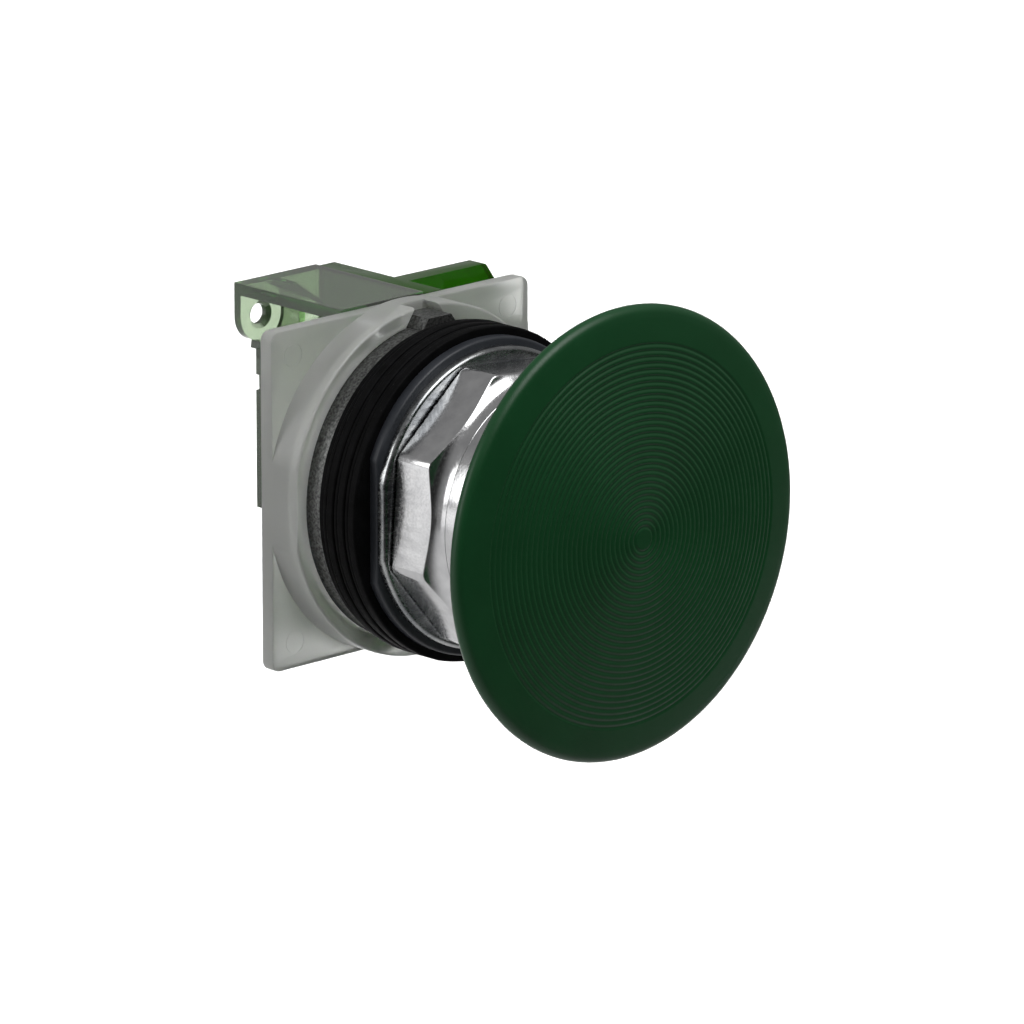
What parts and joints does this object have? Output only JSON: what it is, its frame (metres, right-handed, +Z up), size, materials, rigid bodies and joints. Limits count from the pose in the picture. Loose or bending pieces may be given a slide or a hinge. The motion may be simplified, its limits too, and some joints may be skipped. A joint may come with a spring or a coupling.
{
  "type": "industrial push button",
  "caption": "Panel push button with a domed green mushroom head, chrome ring nut, rubber gaskets, frosted adapter plate and a translucent contact block.",
  "frame": {"origin": "on the push axis, at the front face of the zinc flange, which seats behind the panel", "axes": "-Y towards the hand that pushes the head, +Y along the push into the panel, +Z up, +X to the right seen from the front"},
  "size_m": [0.0566, 0.0647, 0.0566],
  "materials": {
    "green_plastic": "satin moulded",
    "chrome_plate": "slightly cast under the plating",
    "bright_steel": "zinc plated",
    "zinc_casting": "speckled die-casting",
    "dark_trim": "satin",
    "black_rubber": "matte",
    "frosted_plastic": "frosted translucent",
    "clear_plastic": "clear, faintly green",
    "green_translucent": "deep green translucent",
    "ivory_plastic": "moulded",
    "brass": "turned or stamped",
    "copper_alloy": "stamped",
    "silver_contact": "matte silver",
    "spring_steel": "drawn wire"
  },
  "bodies": {
    "root": {"operator_body": "zinc_casting", "adapter_plate": "frosted_plastic", "thick_gaskets": "black_rubber", "thin_gaskets": "black_rubber", "trim_washer": "dark_trim", "clamp_washer": "bright_steel", "ring_nut": "chrome_plate", "neck_wiper": "black_rubber", "guide_bush": "brass", "stem_seal": "black_rubber", "return_spring": "spring_steel", "block_housing": "green_translucent", "block_cover": "clear_plastic", "block_screws": "bright_steel", "upper_fixed_contact": "brass", "lower_fixed_contact": "brass", "fixed_contact_tips": "silver_contact", "terminal_screws": "bright_steel", "clamp_plates": "bright_steel", "carrier_spring": "spring_steel"},
    "button": {"mushroom_head": "green_plastic", "head_insert": "brass", "push_stem": "bright_steel", "stem_clip": "spring_steel", "plunger_foot": "ivory_plastic"},
    "carrier": {"contact_carrier": "ivory_plastic", "contact_bridge": "copper_alloy", "bridge_tips": "silver_contact", "bridge_spring": "spring_steel"}
  },
  "joints": [
    {"name": "push_slide", "type": "slide", "parent": "root", "child": "button", "axis": [0, 1, 0], "range_m": [0, 0.005], "stiffness_N_per_m": 1500, "springref_m": -0.004, "deforming": ["return_spring"]},
    {"name": "carrier_slide", "type": "slide", "parent": "root", "child": "carrier", "axis": [0, 1, 0], "range_m": [0, 0.005], "stiffness_N_per_m": 300, "springref_m": -0.003, "deforming": ["carrier_spring"]}
  ],
  "couplings": [
    {"joint": "carrier_slide", "follows": "push_slide", "ratio": 1}
  ]
}
